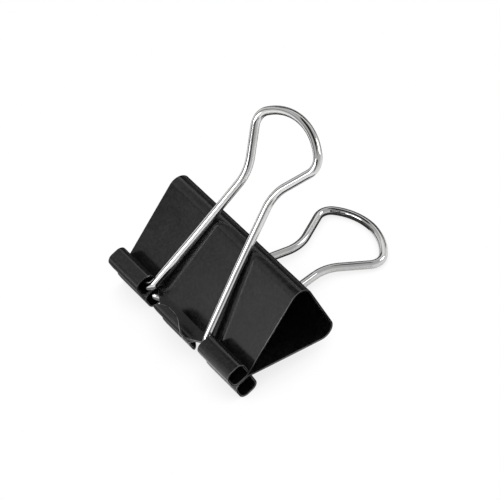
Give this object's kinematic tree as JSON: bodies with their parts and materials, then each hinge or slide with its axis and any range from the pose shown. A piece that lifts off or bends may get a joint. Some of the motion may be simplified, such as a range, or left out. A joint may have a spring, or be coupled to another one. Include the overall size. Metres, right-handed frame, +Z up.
{
  "type": "foldback paper clip",
  "caption": "Foldback clip: a folded black spring-steel sheet with rolled jaw edges, and bright wire handles that hinge in the rolls and lie folded back.",
  "frame": {"origin": "middle of the bottom face of the box that the closed clip fills as it lies on its rear handle and rear rolls", "axes": "+X along the jaws, +Y from the rolled jaw edges towards the handle loops, +Z up from the surface it lies on"},
  "size_m": [0.051, 0.0638, 0.0503],
  "materials": {
    "black_sheet": "semi-gloss black enamel on spring steel",
    "bright_wire": "bright nickel plate on steel wire"
  },
  "bodies": {
    "spine": {"spine": "black_sheet"},
    "front_jaw": {"front_jaw": "black_sheet"},
    "rear_jaw": {"rear_jaw": "black_sheet"},
    "front_handle": {"front_handle": "bright_wire"},
    "rear_handle": {"rear_handle": "bright_wire"}
  },
  "joints": [
    {"name": "front_jaw_flex", "type": "hinge", "parent": "spine", "child": "front_jaw", "pos_m": [0, -0.00612, 0.02246], "axis": [-1, 0, 0], "range_deg": [0, 25], "stiffness_Nm_per_rad": 0.05, "springref_deg": -17.19},
    {"name": "rear_jaw_flex", "type": "hinge", "parent": "spine", "child": "rear_jaw", "pos_m": [0, -0.00062, 0.00843], "axis": [1, 0, 0], "range_deg": [0, 25], "stiffness_Nm_per_rad": 0.05, "springref_deg": -17.19},
    {"name": "front_handle_hinge", "type": "hinge", "parent": "front_jaw", "child": "front_handle", "pos_m": [0, -0.02859, 0.00786], "axis": [1, 0, 0], "range_deg": [0, 155]},
    {"name": "rear_handle_hinge", "type": "hinge", "parent": "rear_jaw", "child": "rear_handle", "pos_m": [0, -0.02702, 0.00386], "axis": [-1, 0, 0], "range_deg": [0, 155]}
  ],
  "couplings": [
    {"joint": "rear_jaw_flex", "follows": "front_jaw_flex", "ratio": 1}
  ]
}
